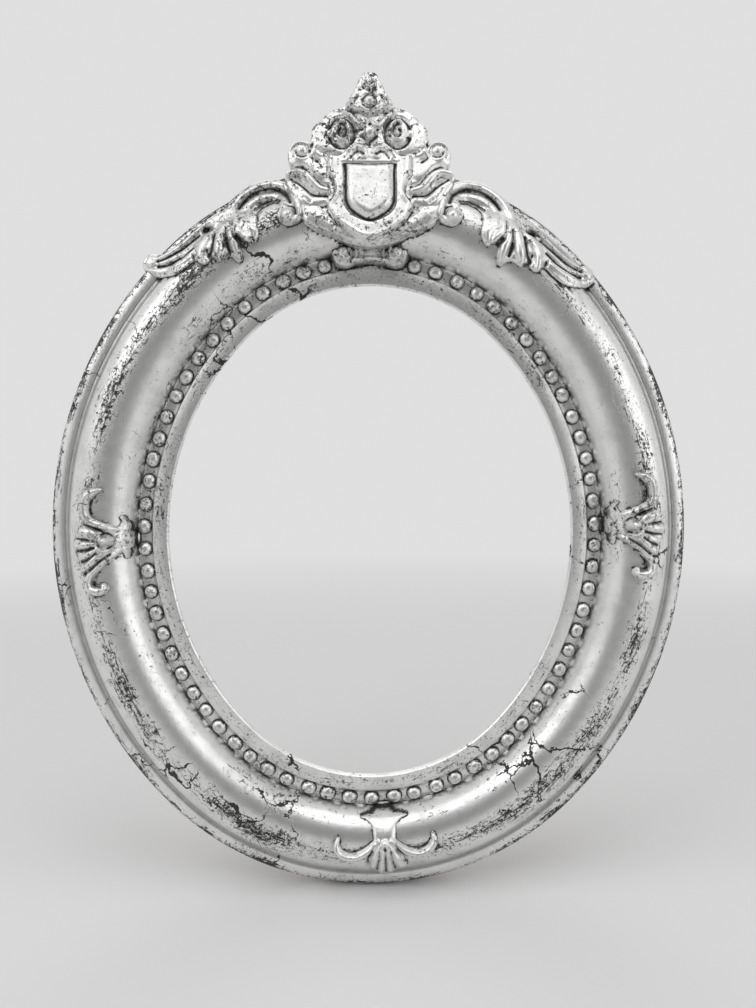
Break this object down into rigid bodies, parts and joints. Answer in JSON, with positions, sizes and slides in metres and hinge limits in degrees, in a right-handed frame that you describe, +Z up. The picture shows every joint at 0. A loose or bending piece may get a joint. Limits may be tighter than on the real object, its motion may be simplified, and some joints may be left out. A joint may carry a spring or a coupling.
{
  "type": "oval picture frame",
  "caption": "Upright oval picture frame with a silvered swell moulding, bead course, carved crest, leaf wings and palmettes, turn buttons and a ring hanger at the back.",
  "frame": {"origin": "middle of the oval on the plane of the wall behind the frame", "axes": "+X to the right as seen from the front, +Y back into the wall, +Z up; the front faces -Y"},
  "size_m": [0.298, 0.0317, 0.3795],
  "materials": {
    "silvered_moulding": "worn silver leaf over a dark ground on wood, semi-gloss",
    "silvered_beads": "worn silver leaf on moulded composition beads",
    "silvered_ornament": "worn silver leaf on carved ornament, dark in the recesses",
    "bare_wood": "bare darkened softwood",
    "hanger_steel": "dull plated steel",
    "button_steel": "dull stamped steel",
    "screw_steel": "dull slotted steel screws"
  },
  "bodies": {
    "frame": {"back_bottom": "bare_wood", "back_top": "bare_wood", "bead_strip_left": "silvered_beads", "bead_strip_right": "silvered_beads", "bottom_palmette": "silvered_ornament", "bridge_scroll": "silvered_ornament", "crest_board": "bare_wood", "crest_body": "silvered_ornament", "crest_brow": "silvered_ornament", "crest_finial": "silvered_ornament", "crest_shield": "silvered_ornament", "crest_strapwork": "silvered_ornament", "hanger_plate": "hanger_steel", "hanger_screws": "screw_steel", "left_eye_volute": "silvered_ornament", "left_palmette": "silvered_ornament", "left_side_leaf": "silvered_ornament", "left_wing": "silvered_ornament", "moulding_left": "silvered_moulding", "moulding_right": "silvered_moulding", "right_eye_volute": "silvered_ornament", "right_palmette": "silvered_ornament", "right_side_leaf": "silvered_ornament", "right_wing": "silvered_ornament", "turn_button_screws": "screw_steel"},
    "ring": {"hanger_ring": "hanger_steel"},
    "turn_button_upper_right": {"turn_button_upper_right": "button_steel"},
    "turn_button_lower_right": {"turn_button_lower_right": "button_steel"},
    "turn_button_lower_left": {"turn_button_lower_left": "button_steel"},
    "turn_button_upper_left": {"turn_button_upper_left": "button_steel"}
  },
  "joints": [
    {"name": "ring_swing", "type": "hinge", "parent": "frame", "child": "ring", "pos_m": [0, -0.00315, 0.144], "axis": [1, 0, 0], "range_deg": [0, 180]},
    {"name": "turn_button_upper_right_pivot", "type": "hinge", "parent": "frame", "child": "turn_button_upper_right", "pos_m": [0.08916, -0.003, 0.07218], "axis": [0, 1, 0], "range_deg": [0, 180]},
    {"name": "turn_button_lower_right_pivot", "type": "hinge", "parent": "frame", "child": "turn_button_lower_right", "pos_m": [0.08916, -0.003, -0.07218], "axis": [0, 1, 0], "range_deg": [0, 180]},
    {"name": "turn_button_lower_left_pivot", "type": "hinge", "parent": "frame", "child": "turn_button_lower_left", "pos_m": [-0.08916, -0.003, -0.07218], "axis": [0, 1, 0], "range_deg": [0, 180]},
    {"name": "turn_button_upper_left_pivot", "type": "hinge", "parent": "frame", "child": "turn_button_upper_left", "pos_m": [-0.08916, -0.003, 0.07218], "axis": [0, 1, 0], "range_deg": [0, 180]}
  ]
}
